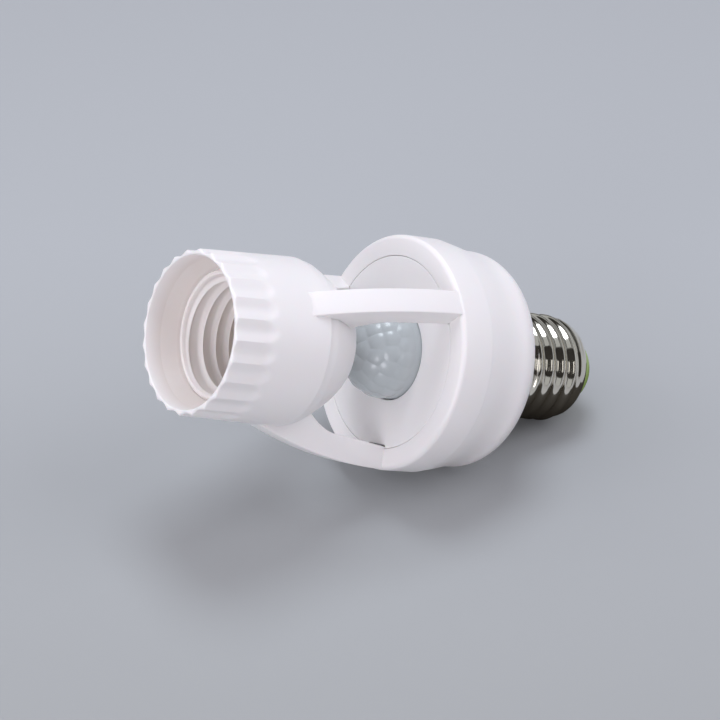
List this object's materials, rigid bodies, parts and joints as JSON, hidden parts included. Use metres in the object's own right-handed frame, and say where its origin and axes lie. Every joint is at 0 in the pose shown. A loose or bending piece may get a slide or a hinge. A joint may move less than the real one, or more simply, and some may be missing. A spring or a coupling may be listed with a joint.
{
  "type": "motion sensor lamp holder",
  "caption": "Screw-in lamp holder with a domed motion sensor: a fluted lamp socket on arms over a round sensor body that ends in a screw cap.",
  "frame": {"origin": "centre of the lamp socket's rim, in the plane that the part stands on", "axes": "+Z along the axis from the lamp socket to the screw cap; one of the three arms lies over +Y"},
  "size_m": [0.056, 0.056, 0.1167],
  "materials": {
    "shell_white": "satin moulded polycarbonate",
    "insert_white": "satin moulded plastic",
    "base_ivory": "matt moulded plastic",
    "contact_brass": "bright rolled strip",
    "rivet_steel": "plated",
    "screw_steel": "zinc plated",
    "lead_brown": "insulated lead",
    "lead_blue": "insulated lead",
    "lens_milky": "milky translucent polyethylene",
    "sensor_can": "nickel plated can",
    "photocell_amber": "coated",
    "board_green": "solder resist",
    "chip_black": "moulded resin",
    "relay_blue": "moulded case",
    "film_yellow": "moulded case",
    "can_sleeve": "shrunk sleeve",
    "varistor_blue": "dipped resin",
    "cap_nickel": "bright nickel plate",
    "insulator_green": "glossy green insulator",
    "tip_nickel": "nickel plate"
  },
  "bodies": {
    "housing": {"upper_housing": "shell_white", "back_cap": "shell_white", "thread_insert": "insert_white", "contact_base": "base_ivory", "centre_rivet": "rivet_steel", "side_rivet": "rivet_steel", "base_screws": "screw_steel", "live_arm_lead": "lead_brown", "neutral_arm_lead": "lead_blue", "sensor_plate": "shell_white", "sensor_lens": "lens_milky", "lens_retainer": "shell_white", "motion_sensor": "sensor_can", "light_sensor": "photocell_amber", "sensor_board": "board_green", "sensor_chip": "chip_black", "board_pins": "chip_black", "power_board": "board_green", "relay": "relay_blue", "film_capacitor": "film_yellow", "filter_capacitor": "can_sleeve", "varistor": "varistor_blue", "lower_housing": "shell_white", "housing_screws": "screw_steel", "cap_shell": "cap_nickel", "cap_insulator": "insulator_green", "cap_tip": "tip_nickel", "cap_live_lead": "lead_brown", "cap_neutral_lead": "lead_blue"},
    "centre_leaf": {"centre_contact": "contact_brass"},
    "side_leaf": {"side_contact": "contact_brass"}
  },
  "joints": [
    {"name": "centre_contact_press", "type": "hinge", "parent": "housing", "child": "centre_leaf", "pos_m": [-0.00606, -0.0035, 0.0305], "axis": [0.5, -0.866, 0], "range_deg": [0, 8], "stiffness_Nm_per_rad": 0.05},
    {"name": "side_contact_press", "type": "hinge", "parent": "housing", "child": "side_leaf", "pos_m": [0.00779, -0.0045, 0.0305], "axis": [-0.5, -0.866, 0], "range_deg": [0, 4], "stiffness_Nm_per_rad": 0.05}
  ]
}
